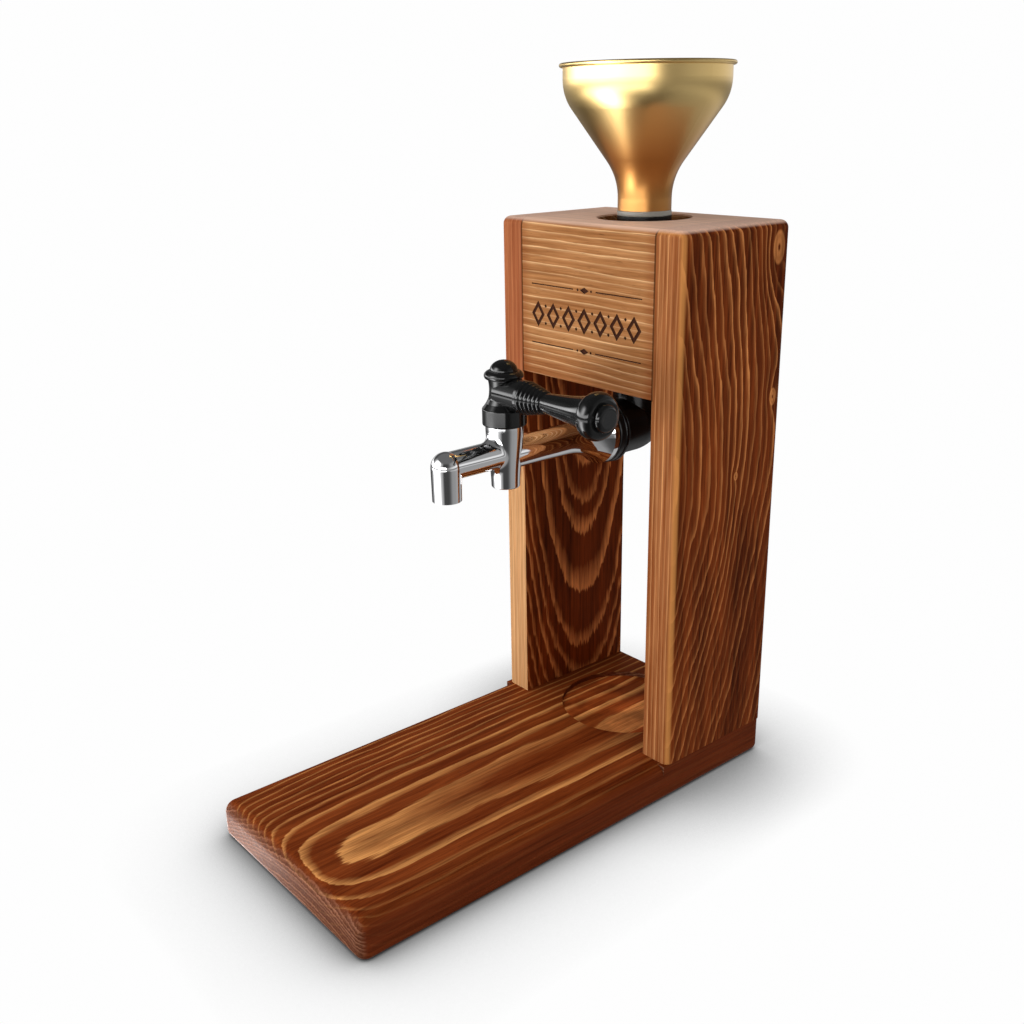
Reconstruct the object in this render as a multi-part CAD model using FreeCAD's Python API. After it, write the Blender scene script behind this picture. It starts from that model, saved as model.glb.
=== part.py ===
"""Drinks dispenser on a wooden stand: a head block between two side boards holds a hidden reservoir,
which is filled through a brass funnel and emptied through a black elbow and a chrome lever tap.

Millimetres. The origin is the centre of the base board's underside, +Z is up, and the tap faces -Y.
Each piece is written to its own file in parts.
"""

import FreeCAD
import Part
import math
import os

os.makedirs("parts", exist_ok=True)
V = FreeCAD.Vector
UP = V(0, 0, 1)
RIGHT = V(1, 0, 0)
BACK = V(0, 1, 0)

# Base board
base_width = 143.0
base_length = 299.0
base_thickness = 22.0
base_corner_radius = 6.0
base_top_radius = 7.0
base_bottom_radius = 4.0
recess_radius = 40.5
recess_depth = 3.0
recess_from_back = 49.0
round_over_stop = 2.0

# Side boards
board_thickness = 19.0
board_depth = 87.0
board_height = 305.0
board_edge_radius = 4.5

# Head block
head_height = 89.5
head_lower_radius = 1.0
head_web = 9.0
bore_radius = 26.4
bore_rim_chamfer = 0.8
reservoir_from_back = 40.5

# Engraved border on the head's front face
engraving_depth = 0.5
lozenge_width = 11.0
lozenge_height = 15.0
lozenge_stroke = 2.1
lozenge_gap = 1.8
lozenge_count = 7
band_stud_size = 2.2
band_height = 36.0
rule_thickness = 0.7
rule_half_length = 44.0
rule_gap_half = 9.0
rule_offset = 17.0
rule_stud_width = 7.2
rule_stud_height = 3.6
side_stud_size = 1.8
side_stud_offset = 5.4

# Dowels and screws
dowel_radius = 4.0
dowel_length = 26.0
dowel_in_board = 11.0
dowel_spacing_y = 54.0
dowel_spacing_z = 52.0
dowel_chamfer = 0.7
glue_gap = 0.05
end_gap = 0.5
screw_radius = 2.0
screw_length = 45.0
screw_head_radius = 4.0
screw_head_height = 2.6
screw_head_sink = 1.5
screw_edge_distance = 19.0
screw_slot_depth = 1.2
screw_slot_width = 1.0
screw_point = 5.0

# Elbow under the head
elbow_drop = 29.0
elbow_radius = 16.3
elbow_bore = 9.5
elbow_bend = 10.0
elbow_leg = 20.3
elbow_rim_radius = 19.3
elbow_rim_length = 2.8
elbow_rim_round = 0.8
elbow_socket_radius = 12.0
elbow_socket_depth = 14.0
elbow_clearance = 0.4

# Threaded insert in the elbow's mouth
insert_radius = 13.0
insert_length = 11.0
thread_clearance = 0.05

# Reservoir
reservoir_clearance = 1.0
reservoir_wall = 1.6
shoulder_radius = 11.0
neck_radius = 12.6
neck_bore = 10.8
neck_lip_radius = 15.4
neck_lip_height = 3.0
neck_length = 9.0
neck_stand_out = 1.0
outlet_bore = 9.5

# Seal between the neck and the funnel
seal_thickness = 3.0
seal_radius = 15.3
seal_round = 0.6

# Funnel
funnel_wall = 0.8
stem_radius = 15.1
stem_straight = 6.5
flare_radius = 34.0
bowl_shoulder_radius = 26.0
bowl_radius = 46.0
bowl_shoulder_height = 69.0
bowl_wall_height = 7.4
rim_bead_radius = 1.15
rim_bead_stand_out = 0.86
spigot_clearance = 0.5
spigot_length = 20.0
spigot_step = 1.2

# Tap body
shank_radius = 10.4
shank_length = 14.5
tap_flange_radius = 18.4
tap_flange_edge = 4.5
tap_flange_round = 1.2
tap_washer_radius = 18.9
tap_washer_thickness = 4.0
tap_washer_round = 0.8
tap_tube_radius = 8.7
tap_swell_radius = 8.9
tap_swell_length = 18.0
tap_flare_length = 24.0
tap_reach = 70.8
valve_top_radius = 10.5
valve_foot_radius = 7.9
valve_rise = 16.7
valve_drop = 18.0
valve_floor = 3.0
valve_foot_round = 0.8
valve_ease = 0.25
valve_foot_ease_at = 0.4
valve_top_ease_at = 0.6
spout_reach = 40.3
spout_drop = 17.1
spout_lip_radius = 7.9
spout_bend_radius = 8.2
spout_bore = 5.5
arm_radius = 7.6
arm_root_radius = 7.8
arm_lift = 1.2
arm_blend_radius = 5.0
waterway_radius = 4.5

# Valve plug
plug_radius = 5.6
plug_clearance = 0.05
plug_height = 23.0
plug_port_radius = 3.5
plug_collar_radius = 8.0
plug_collar_height = 2.5
plug_end_gap = 0.5
stem_of_plug_radius = 4.2
stem_clearance = 0.08
axial_clearance = 0.1
plug_square = 5.4
plug_square_height = 9.0
o_ring_section = 0.8
o_ring_squeeze_gap = 0.03
o_ring_inset = 3.2
thrust_washer_thickness = 0.6
collar_side_clearance = 0.3

# Gland nut
gland_across_flats = 16.6
gland_head_height = 3.0

# Lever
handle_gap = 0.3
skirt_radius = 12.1
skirt_height = 9.7
skirt_round = 1.0
skirt_shoulder_radius = 9.8
skirt_shoulder_height = 2.4
skirt_side_clearance = 0.6
hub_neck_radius = 8.0
hub_neck_sweep = 2.4
hub_neck_flare = 0.6
hub_height = 24.8
lever_above_hub_foot = 17.7
lever_root_radius = 8.9
lever_root_length = 18.3
rib_count = 6
rib_pitch = 2.6
rib_height = 0.8
rib_first_radius = 8.5
rib_last_radius = 5.7
waist_radius = 5.8
waist_from_axis = 40.0
grip_end_radius = 9.8
grip_end_from_axis = 66.0
grip_halfway_share = 0.33
knob_radius = 12.3
knob_width = 10.4
knob_face_radius = 9.0
cheek_share = 0.4
boss_radius = 7.2
boss_height = 3.0
boss_round = 2.4
boss_groove = 0.3
stud_radius = 3.0
stud_length = 8.0
square_clearance = 0.1

# Handle screw and cap
handle_screw_radius = 1.5
handle_screw_length = 9.0
handle_screw_head_radius = 2.8
handle_screw_head_height = 2.0
cap_foot_height = 0.3
cap_disc_radius = 10.7
cap_disc_height = 4.7
cap_dome_radius = 7.5
cap_dome_height = 5.7
cap_plug_radius = 5.0
cap_plug_height = 2.4

# How far a cutting tool runs past the face that it opens
past = 1.0

# Levels and axes worked out from the sizes above
base_back = base_length / 2
board_front = base_back - board_depth
board_inner = base_width / 2 - board_thickness
head_top = base_thickness + board_height
head_bottom = head_top - head_height
web_top = head_bottom + head_web
reservoir_y = base_back - reservoir_from_back
tap_z = head_bottom - elbow_drop
elbow_mouth_y = reservoir_y - elbow_bend - elbow_leg
flange_back_y = elbow_mouth_y - tap_washer_thickness
valve_y = flange_back_y - tap_reach
spout_y = valve_y - spout_reach
valve_top_z = tap_z + valve_rise
valve_foot_z = tap_z - valve_drop
plug_foot_z = valve_foot_z + valve_floor + plug_end_gap
collar_z = plug_foot_z + plug_height
thrust_washer_z = collar_z + plug_collar_height + 2 * axial_clearance
gland_top_z = valve_top_z + gland_head_height
square_z = gland_top_z + handle_gap
square_top_z = square_z + plug_square_height
hub_z = valve_top_z + handle_gap
hub_top_z = hub_z + hub_height
hub_end_radius = hub_neck_radius + hub_neck_flare
lever_z = hub_z + lever_above_hub_foot
neck_top_z = head_top + neck_stand_out
funnel_z = neck_top_z + seal_thickness


class Outline:
    """A closed profile in radius and height, to be turned about the height axis."""

    def __init__(self, radius, height):
        self.start = V(radius, 0, height)
        self.here = self.start
        self.edges = []

    def line(self, radius, height):
        there = V(radius, 0, height)
        if there.distanceToPoint(self.here) > 1e-6:
            self.edges.append(Part.LineSegment(self.here, there).toShape())
        self.here = there
        return self

    def arc(self, centre_radius, centre_height, turn):
        """Goes round a centre by an angle in degrees, anticlockwise when it is positive."""
        centre = V(centre_radius, 0, centre_height)
        reach = self.here - centre
        begin = math.atan2(reach.z, reach.x)
        points = []
        for share in (0.5, 1.0):
            angle = begin + math.radians(turn) * share
            points.append(centre + V(math.cos(angle), 0, math.sin(angle)) * reach.Length)
        self.edges.append(Part.Arc(self.here, points[0], points[1]).toShape())
        self.here = points[1]
        return self

    def curve(self, *points):
        """A smooth line through radius and height pairs."""
        spline = Part.BSplineCurve()
        spline.interpolate([self.here] + [V(r, 0, h) for r, h in points])
        self.edges.append(spline.toShape())
        self.here = V(points[-1][0], 0, points[-1][1])
        return self

    def turned(self):
        self.line(self.start.x, self.start.z)
        return Part.Face(Part.Wire(self.edges)).revolve(V(0, 0, 0), UP, 360)


def bulge(edge_radius, full_radius, share):
    """The radius of a rounded rim at a share of its half width, from its edge towards its middle."""
    return edge_radius + (full_radius - edge_radius) * math.sqrt(1 - (1 - share) ** 2)


def aimed(shape, place, direction):
    """Moves a shape made on the origin along +Z to a place, pointing in a direction."""
    moved = shape.copy()
    moved.Placement = FreeCAD.Placement(place, FreeCAD.Rotation(UP, direction))
    return moved


def rod(radius, length, place, direction=UP):
    return Part.makeCylinder(radius, length, place, direction)


def block(x0, x1, y0, y1, z0, z1):
    return Part.makeBox(x1 - x0, y1 - y0, z1 - z0, V(x0, y0, z0))


def fused(shapes):
    whole = shapes[0]
    for shape in shapes[1:]:
        whole = whole.fuse(shape)
    return whole.removeSplitter()


def cut_by(shape, tools):
    for tool in tools:
        shape = shape.cut(tool)
    return shape.removeSplitter()


def rounded(shape, radius, wanted):
    """Rounds the edges whose middle point passes the test."""
    chosen = []
    for edge in shape.Edges:
        middle = edge.valueAt((edge.FirstParameter + edge.LastParameter) / 2)
        if wanted(middle):
            chosen.append(edge)
    return shape.makeFillet(radius, chosen)


def near(a, b):
    return abs(a - b) < 1e-3


def save(name, shape):
    solids = shape.Solids
    group = solids[0] if len(solids) == 1 else Part.makeCompound(solids)
    group.exportStep(f"parts/{name}.step")
    print(f"{name}: {len(solids)} solid, valid {group.isValid()}, {group.Volume:.0f} mm3")


def mirrored_in_x(shape):
    return shape.mirror(V(0, 0, 0), RIGHT)


# Base board
def base_blank(top_radius):
    """The board with round corners, and with its top edge rounded where a radius is given."""
    half_width = base_width / 2
    blank = block(-half_width, half_width, -base_back, base_back, 0, base_thickness)
    blank = rounded(blank, base_corner_radius, lambda m: near(m.z, base_thickness / 2))
    blank = rounded(blank, base_bottom_radius, lambda m: near(m.z, 0))
    if top_radius:
        blank = rounded(blank, top_radius, lambda m: near(m.z, base_thickness))
    return blank


def screw_places():
    """The screws' axes: two to each side board."""
    x = base_width / 2 - board_thickness / 2
    for side in (-1, 1):
        for y in (board_front + screw_edge_distance, base_back - screw_edge_distance):
            yield V(side * x, y, 0)


def make_base_board():
    """The top edge is rounded up to the side boards, which stand flush with the base behind it."""
    stop = board_front - round_over_stop
    front = block(-base_width, base_width, -base_length, stop, -past, base_thickness + past)
    back = block(-base_width, base_width, stop, base_length, -past, base_thickness + past)
    board = fused([base_blank(base_top_radius).common(front), base_blank(0).common(back)])
    floor_z = base_thickness - recess_depth
    tools = [rod(recess_radius, recess_depth + past, V(0, base_back - recess_from_back, floor_z))]
    for place in screw_places():
        hole = rod(screw_radius + glue_gap, base_thickness + 2 * past, place - UP * past)
        sink = rod(screw_head_radius + glue_gap, screw_head_sink + past, place - UP * past)
        cone = Part.makeCone(
            screw_head_radius + glue_gap,
            screw_radius + glue_gap,
            screw_head_height,
            place + UP * screw_head_sink,
        )
        tools += [hole, sink, cone]
    return cut_by(board, tools)


# Side boards
def dowel_places():
    """Where the right-hand dowels cross the joint face between the head and the side board."""
    middle_y = base_back - board_depth / 2
    middle_z = head_bottom + head_height / 2
    for y in (middle_y - dowel_spacing_y / 2, middle_y + dowel_spacing_y / 2):
        for z in (middle_z - dowel_spacing_z / 2, middle_z + dowel_spacing_z / 2):
            yield V(board_inner, y, z)


def make_right_board():
    """Rounded on its outer and upper edges, and left square where it meets the head and the base."""
    outer = base_width / 2
    board = block(board_inner, outer, board_front, base_back, base_thickness, head_top)

    def is_rounded(m):
        upright = near(m.x, outer) and not near(m.z, base_thickness)
        crown = near(m.z, head_top) and not near(m.x, board_inner)
        return upright or crown

    board = rounded(board, board_edge_radius, is_rounded)
    depth = dowel_in_board + end_gap
    tools = [rod(dowel_radius + glue_gap, depth, place, RIGHT) for place in dowel_places()]
    reach = screw_head_sink + screw_length + end_gap
    for place in screw_places():
        if place.x > 0:
            tools.append(rod(screw_radius + glue_gap, reach - base_thickness, place + UP * base_thickness))
    return cut_by(board, tools)


# Head block
def lozenge(width, height, x, z):
    """A diamond-shaped prism that reaches from in front of the head to the engraving's floor."""
    y = board_front - past
    corners = [(x - width / 2, z), (x, z - height / 2), (x + width / 2, z), (x, z + height / 2)]
    wire = Part.makePolygon([V(cx, y, cz) for cx, cz in corners + corners[:1]])
    return Part.Face(wire).extrude(V(0, past + engraving_depth, 0))


def engraving():
    """A border of hollow lozenges with small studs between them, and a ruled line above and below."""
    pitch = lozenge_width + lozenge_gap
    middle_z = head_bottom + band_height
    shrink = lozenge_stroke * math.hypot(lozenge_width, lozenge_height)
    inner_width = lozenge_width - 2 * shrink / lozenge_height
    inner_height = lozenge_height - 2 * shrink / lozenge_width
    cuts = []
    for index in range(lozenge_count):
        x = (index - (lozenge_count - 1) / 2) * pitch
        outer = lozenge(lozenge_width, lozenge_height, x, middle_z)
        cuts.append(outer.cut(lozenge(inner_width, inner_height, x, middle_z)))
    for side in (-1, 1):
        z = middle_z + side * rule_offset
        cuts.append(lozenge(rule_stud_width, rule_stud_height, 0, z))
        for x in (-side_stud_offset, side_stud_offset):
            cuts.append(lozenge(side_stud_size, side_stud_size, x, z))
        for end in (-1, 1):
            x0, x1 = sorted((end * rule_gap_half, end * rule_half_length))
            half = rule_thickness / 2
            cuts.append(block(x0, x1, board_front - past, board_front + engraving_depth, z - half, z + half))
        for index in range(lozenge_count - 1):
            x = (index - (lozenge_count - 2) / 2) * pitch
            level = middle_z + side * lozenge_height / 3
            cuts.append(lozenge(band_stud_size, band_stud_size, x, level))
    return cuts


def make_head_block():
    head = block(-board_inner, board_inner, board_front, base_back, head_bottom, head_top)
    head = rounded(head, board_edge_radius, lambda m: near(m.z, head_top) and near(m.x, 0))
    head = rounded(head, head_lower_radius, lambda m: near(m.z, head_bottom) and near(m.x, 0))
    axis = V(0, reservoir_y, 0)
    tools = [
        rod(bore_radius, head_height, axis + UP * web_top),
        rod(elbow_radius + elbow_clearance, head_web + 2 * past, axis + UP * (head_bottom - past)),
        Part.makeCone(
            bore_radius,
            bore_radius + bore_rim_chamfer * 2,
            bore_rim_chamfer * 2,
            axis + UP * (head_top - bore_rim_chamfer),
        ),
    ]
    depth = dowel_length - dowel_in_board + end_gap
    for place in dowel_places():
        tools.append(rod(dowel_radius + glue_gap, depth, place - RIGHT * depth, RIGHT))
        left = V(-place.x, place.y, place.z)
        tools.append(rod(dowel_radius + glue_gap, depth, left, RIGHT))
    return cut_by(head, tools + engraving())


def make_dowels():
    pins = []
    for place in dowel_places():
        pin = rod(dowel_radius, dowel_length, place - RIGHT * (dowel_length - dowel_in_board), RIGHT)
        pin = pin.makeChamfer(dowel_chamfer, [pin.Edges[0], pin.Edges[2]])
        pins += [pin, mirrored_in_x(pin)]
    return Part.makeCompound(pins)


def make_base_screws():
    """Countersunk slotted screws, driven up through the base into the side boards."""
    profile = Outline(0, 0)
    profile.line(screw_head_radius, 0)
    profile.line(screw_radius, screw_head_height)
    profile.line(screw_radius, screw_length - screw_point)
    profile.line(0, screw_length)
    screw = profile.turned()
    half = screw_slot_width / 2
    screw = screw.cut(block(-screw_head_radius, screw_head_radius, -half, half, -past, screw_slot_depth))
    return Part.makeCompound([aimed(screw, place + UP * screw_head_sink, UP) for place in screw_places()])


# Reservoir
def make_reservoir():
    """A black bottle with a filling neck above and an outlet below, hidden in the head's bore."""
    radius = bore_radius - reservoir_clearance
    wall = reservoir_wall
    lip_z = neck_top_z - neck_lip_height
    shoulder_top = lip_z - neck_length
    shoulder_z = shoulder_top - shoulder_radius
    flat = radius - shoulder_radius
    outlet = elbow_socket_radius - glue_gap
    outlet_z = web_top - elbow_socket_depth + end_gap
    outside = Outline(outlet_bore, outlet_z)
    outside.line(outlet, outlet_z)
    outside.line(outlet, web_top)
    outside.line(radius, web_top)
    outside.line(radius, shoulder_z)
    outside.arc(flat, shoulder_z, 90)
    outside.line(neck_radius, shoulder_top)
    outside.line(neck_radius, lip_z)
    outside.line(neck_lip_radius, lip_z)
    outside.line(neck_lip_radius, neck_top_z)
    outside.line(neck_bore, neck_top_z)
    outside.line(neck_bore, shoulder_top - wall)
    outside.line(flat, shoulder_top - wall)
    outside.arc(flat, shoulder_z, -90)
    outside.line(radius - wall, web_top + wall)
    outside.line(outlet_bore, web_top + wall)
    return aimed(outside.turned(), V(0, reservoir_y, 0), UP)


def make_neck_seal():
    ring = rod(seal_radius, seal_thickness, V(0, reservoir_y, neck_top_z))
    ring = rounded(ring, seal_round, lambda m: True)
    return ring.cut(rod(neck_bore, seal_thickness + 2 * past, V(0, reservoir_y, neck_top_z - past)))


# Elbow
def bent_tube(radius):
    """A solid quarter bend from the tap's axis up to the reservoir's axis.

    A tube that is fatter than the bend's radius keeps only what lies outside the bend's centre.
    """
    start = V(0, reservoir_y - elbow_bend, tap_z)
    centre = start + UP * elbow_bend
    disc = Part.Face(Part.Wire(Part.Circle(start, BACK, radius).toShape()))
    over = block(-radius, radius, start.y - past, start.y + past, centre.z, centre.z + radius)
    return disc.cut(over).revolve(centre, RIGHT, 90)


def make_elbow():
    mouth = V(0, elbow_mouth_y, tap_z)
    rise_z = tap_z + elbow_bend
    rim = Outline(0, 0)
    rim.line(elbow_rim_radius - elbow_rim_round, 0)
    rim.arc(elbow_rim_radius - elbow_rim_round, elbow_rim_round, 90)
    rim.line(elbow_rim_radius, elbow_rim_length - elbow_rim_round)
    rim.arc(elbow_rim_radius - elbow_rim_round, elbow_rim_length - elbow_rim_round, 90)
    rim.line(elbow_radius, elbow_rim_length)
    rim.line(elbow_radius, elbow_leg)
    rim.line(0, elbow_leg)
    outside = [
        aimed(rim.turned(), mouth, BACK),
        bent_tube(elbow_radius),
        rod(elbow_radius, web_top - rise_z, V(0, reservoir_y, rise_z)),
    ]
    inside = [
        rod(insert_radius + glue_gap, insert_length, mouth, BACK),
        rod(elbow_bore, elbow_leg, mouth, BACK),
        bent_tube(elbow_bore),
        rod(elbow_bore, web_top - rise_z, V(0, reservoir_y, rise_z)),
        rod(elbow_socket_radius, elbow_socket_depth, V(0, reservoir_y, web_top - elbow_socket_depth)),
    ]
    return cut_by(fused(outside), inside)


def make_insert():
    mouth = V(0, elbow_mouth_y, tap_z)
    sleeve = rod(insert_radius, insert_length, mouth, BACK)
    return sleeve.cut(rod(shank_radius + thread_clearance, insert_length, mouth, BACK))


# Tap body
def valve_outside():
    foot = valve_foot_z
    outline = Outline(0, foot)
    outline.line(valve_foot_radius - valve_foot_round, foot)
    outline.arc(valve_foot_radius - valve_foot_round, foot + valve_foot_round, 90)
    middle = (valve_foot_radius + valve_top_radius) / 2
    outline.curve(
        (valve_foot_radius + valve_ease, foot + valve_drop * valve_foot_ease_at),
        (middle, tap_z),
        (valve_top_radius - valve_ease, tap_z + valve_rise * valve_top_ease_at),
        (valve_top_radius, valve_top_z),
    )
    outline.line(0, valve_top_z)
    return aimed(outline.turned(), V(0, valve_y, 0), UP)


def tube_outside():
    """The tube, flange and shank, turned about the tap's horizontal axis from the flange's back."""
    flare_rise = tap_flange_radius - tap_swell_radius
    flare_arc = (flare_rise**2 + tap_flare_length**2) / (2 * flare_rise)
    flare_angle = math.degrees(math.asin(tap_flare_length / flare_arc))
    flare_start = -tap_flange_edge - tap_flare_length
    outline = Outline(0, -tap_reach)
    outline.line(tap_tube_radius, -tap_reach)
    outline.line(tap_tube_radius, flare_start - tap_swell_length)
    outline.line(tap_swell_radius, flare_start)
    outline.arc(tap_swell_radius + flare_arc, flare_start, -flare_angle)
    outline.line(tap_flange_radius, -tap_flange_round)
    outline.line(tap_flange_radius - tap_flange_round, 0)
    outline.line(shank_radius, 0)
    outline.line(shank_radius, shank_length)
    outline.line(0, shank_length)
    return aimed(outline.turned(), V(0, flange_back_y, tap_z), BACK)


def spout_outside():
    """The arm forward from the valve, the round bend and the tapered outlet."""
    bend = V(0, spout_y, tap_z + arm_lift)
    lip = V(0, spout_y, tap_z - spout_drop)
    arm = Part.makeCone(arm_radius, arm_root_radius, spout_reach, bend, BACK)
    outlet = Part.makeCone(spout_lip_radius, spout_bend_radius, spout_drop + arm_lift, lip)
    return fused([arm, outlet, Part.makeSphere(spout_bend_radius, bend)])


def make_tap_body():
    """The casting, with a soft blend where the arm's top runs up into the valve."""
    casting = fused([valve_outside(), spout_outside()])

    joint = []
    for edge in casting.Edges:
        reach = edge.BoundBox
        goes_round = reach.ZLength > arm_radius and reach.XLength > arm_radius
        if goes_round and valve_y - valve_top_radius < reach.YMin and reach.YMax < valve_y:
            joint.append(edge)
    solid = fused([casting.makeFillet(arm_blend_radius, joint), tube_outside()])
    chamber_z = valve_foot_z + valve_floor
    valve = V(0, valve_y, 0)
    shank_end = flange_back_y + shank_length
    tools = [
        rod(plug_radius + plug_clearance, valve_top_z, valve + UP * chamber_z),
        rod(plug_collar_radius + collar_side_clearance, valve_top_z, valve + UP * collar_z),
        rod(waterway_radius, shank_end - valve_y + past, V(0, valve_y, tap_z), BACK),
        rod(waterway_radius, spout_reach, V(0, spout_y, tap_z), BACK),
        rod(spout_bore, spout_drop + past, V(0, spout_y, tap_z - spout_drop - past)),
        Part.makeSphere(spout_bore, V(0, spout_y, tap_z)),
    ]
    return cut_by(solid, tools)


def make_tap_washer():
    place = V(0, flange_back_y, tap_z)
    ring = rod(tap_washer_radius, tap_washer_thickness, place, BACK)
    ring = rounded(ring, tap_washer_round, lambda m: True)
    return ring.cut(rod(shank_radius + thread_clearance, tap_washer_thickness, place, BACK))


# Valve plug
def o_ring_levels():
    return (plug_foot_z + o_ring_inset, collar_z - o_ring_inset)


def make_plug():
    """A cross-bored plug with two seal grooves, a retaining collar, and a stem with a square end."""
    axis = V(0, valve_y, 0)
    collar_foot = collar_z + axial_clearance
    collar_top = collar_foot + plug_collar_height
    plug = fused(
        [
            rod(plug_radius, collar_foot - plug_foot_z, axis + UP * plug_foot_z),
            rod(plug_collar_radius, plug_collar_height, axis + UP * collar_foot),
            rod(stem_of_plug_radius, square_z - collar_top, axis + UP * collar_top),
            block(
                -plug_square / 2,
                plug_square / 2,
                valve_y - plug_square / 2,
                valve_y + plug_square / 2,
                square_z,
                square_top_z,
            ),
        ]
    )
    length = 2 * (plug_radius + past)
    tools = [rod(plug_port_radius, length, V(-length / 2, valve_y, tap_z), RIGHT)]
    for level in o_ring_levels():
        ring = rod(plug_radius + past, o_ring_section * 2, axis + UP * (level - o_ring_section))
        core = rod(plug_radius - o_ring_section * 2, o_ring_section * 2, axis + UP * (level - o_ring_section))
        tools.append(ring.cut(core))
    depth = handle_screw_length - handle_screw_head_height
    tools.append(rod(handle_screw_radius + glue_gap, depth, axis + UP * (square_top_z - depth)))
    return cut_by(plug, tools)


def make_o_rings():
    axis = V(0, valve_y, 0)
    rings = []
    middle = plug_radius + plug_clearance - o_ring_squeeze_gap - o_ring_section
    for level in o_ring_levels():
        rings.append(Part.makeTorus(middle, o_ring_section, axis + UP * level))
    return Part.makeCompound(rings)


def make_thrust_washer():
    place = V(0, valve_y, thrust_washer_z)
    ring = rod(plug_collar_radius, thrust_washer_thickness, place)
    return ring.cut(rod(stem_of_plug_radius + stem_clearance, thrust_washer_thickness, place))


def hexagon(across_flats, height, place):
    corner = across_flats / 2 / math.cos(math.radians(30))
    points = []
    for index in range(7):
        angle = math.radians(60 * index)
        points.append(place + V(math.cos(angle), math.sin(angle), 0) * corner)
    return Part.Face(Part.makePolygon(points)).extrude(UP * height)


def make_gland_nut():
    """The nut that holds the plug down: its spigot screws into the top of the valve."""
    spigot = plug_collar_radius + collar_side_clearance - thread_clearance
    spigot_z = thrust_washer_z + thrust_washer_thickness
    axis = V(0, valve_y, 0)
    head = hexagon(gland_across_flats, gland_head_height, axis + UP * valve_top_z)
    nut = fused([rod(spigot, valve_top_z - spigot_z, axis + UP * spigot_z), head])
    bore = rod(stem_of_plug_radius + stem_clearance, gland_top_z - spigot_z, axis + UP * spigot_z)
    return nut.cut(bore)


# Lever
def arm_profile():
    """The turned arm: root, fine ribs, waist, and a flare that ends at the knob."""
    outline = Outline(0, 0)
    outline.line(lever_root_radius, 0)
    outline.line(lever_root_radius, lever_root_length - rib_pitch / 2)
    taper = (rib_last_radius - rib_first_radius) / (rib_count - 1)
    for index in range(rib_count):
        groove = rib_first_radius + taper * index
        start = lever_root_length + rib_pitch * index
        outline.line(groove, start)
        outline.curve(
            (groove + rib_height + taper / 2, start + rib_pitch / 2),
            (groove + taper, start + rib_pitch),
        )
    end = lever_root_length + rib_pitch * rib_count
    swell = (grip_end_radius - waist_radius) * grip_halfway_share
    outline.curve(
        (waist_radius, max(waist_from_axis, end + rib_pitch)),
        (waist_radius + swell, (waist_from_axis + grip_end_from_axis) / 2),
        (grip_end_radius, grip_end_from_axis),
    )
    outline.line(0, grip_end_from_axis)
    return outline.turned()


def hub_profile():
    """The skirt that hides the gland nut, a sloping shoulder and the slightly waisted neck above it."""
    shoulder_z = skirt_height + skirt_shoulder_height
    neck_z = shoulder_z + hub_neck_sweep
    outline = Outline(0, 0)
    outline.line(skirt_radius - skirt_round, 0)
    outline.arc(skirt_radius - skirt_round, skirt_round, 90)
    outline.line(skirt_radius, skirt_height - skirt_round)
    outline.arc(skirt_radius - skirt_round, skirt_height - skirt_round, 60)
    outline.line(skirt_shoulder_radius, shoulder_z)
    outline.line(hub_end_radius, neck_z)
    outline.curve((hub_neck_radius, (neck_z + hub_height) / 2), (hub_end_radius, hub_height))
    outline.line(0, hub_height)
    return outline.turned()


def make_lever():
    """One black moulding: skirt, neck and arm, with a square socket for the plug's stem."""
    axis = V(0, valve_y, 0)
    arm_place = axis + UP * lever_z
    stud = rod(stud_radius, stud_length, arm_place + RIGHT * grip_end_from_axis, RIGHT)
    hub = aimed(hub_profile(), axis + UP * hub_z, UP)
    solid = fused([hub, aimed(arm_profile(), arm_place, RIGHT), stud])
    half = plug_square / 2 + square_clearance
    socket_top = square_top_z + square_clearance
    cavity_radius = gland_across_flats / 2 / math.cos(math.radians(30)) + skirt_side_clearance
    cap_floor = hub_top_z - cap_plug_height - glue_gap
    tools = [
        rod(cavity_radius, square_z - hub_z, axis + UP * hub_z),
        block(-half, half, valve_y - half, valve_y + half, hub_z, socket_top),
        rod(handle_screw_head_radius + glue_gap, hub_top_z - socket_top, axis + UP * socket_top),
        rod(cap_plug_radius + glue_gap, cap_plug_height + glue_gap, axis + UP * cap_floor),
        rod(cap_disc_radius + handle_gap, lever_root_radius, axis + UP * hub_top_z),
    ]
    return cut_by(solid, tools)


def make_knob():
    """A flattened ball with a round boss on its outer face, screwed onto the lever's stud."""
    half = knob_width / 2
    outline = Outline(0, 0)
    outline.line(knob_face_radius, 0)
    cheek = bulge(knob_face_radius, knob_radius, cheek_share)
    outline.curve(
        (cheek, half * cheek_share),
        (knob_radius, half),
        (cheek, knob_width - half * cheek_share),
        (knob_face_radius, knob_width),
    )
    outline.line(boss_radius, knob_width - boss_groove)
    outline.line(boss_radius, knob_width + boss_height - boss_round)
    outline.arc(boss_radius - boss_round, knob_width + boss_height - boss_round, 90)
    outline.line(0, knob_width + boss_height)
    place = V(grip_end_from_axis, valve_y, lever_z)
    knob = aimed(outline.turned(), place, RIGHT)
    return knob.cut(rod(stud_radius + glue_gap, stud_length + end_gap, place, RIGHT))


def make_handle_screw():
    head_z = square_top_z + square_clearance
    shank = handle_screw_length - handle_screw_head_height - end_gap
    screw = fused(
        [
            rod(handle_screw_head_radius, handle_screw_head_height, V(0, valve_y, head_z)),
            rod(handle_screw_radius, shank, V(0, valve_y, head_z - shank)),
        ]
    )
    half = screw_slot_width / 2
    reach = handle_screw_head_radius
    slot_z = head_z + handle_screw_head_height - screw_slot_depth / 2
    return screw.cut(block(-reach, reach, valve_y - half, valve_y + half, slot_z, slot_z + reach))


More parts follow.
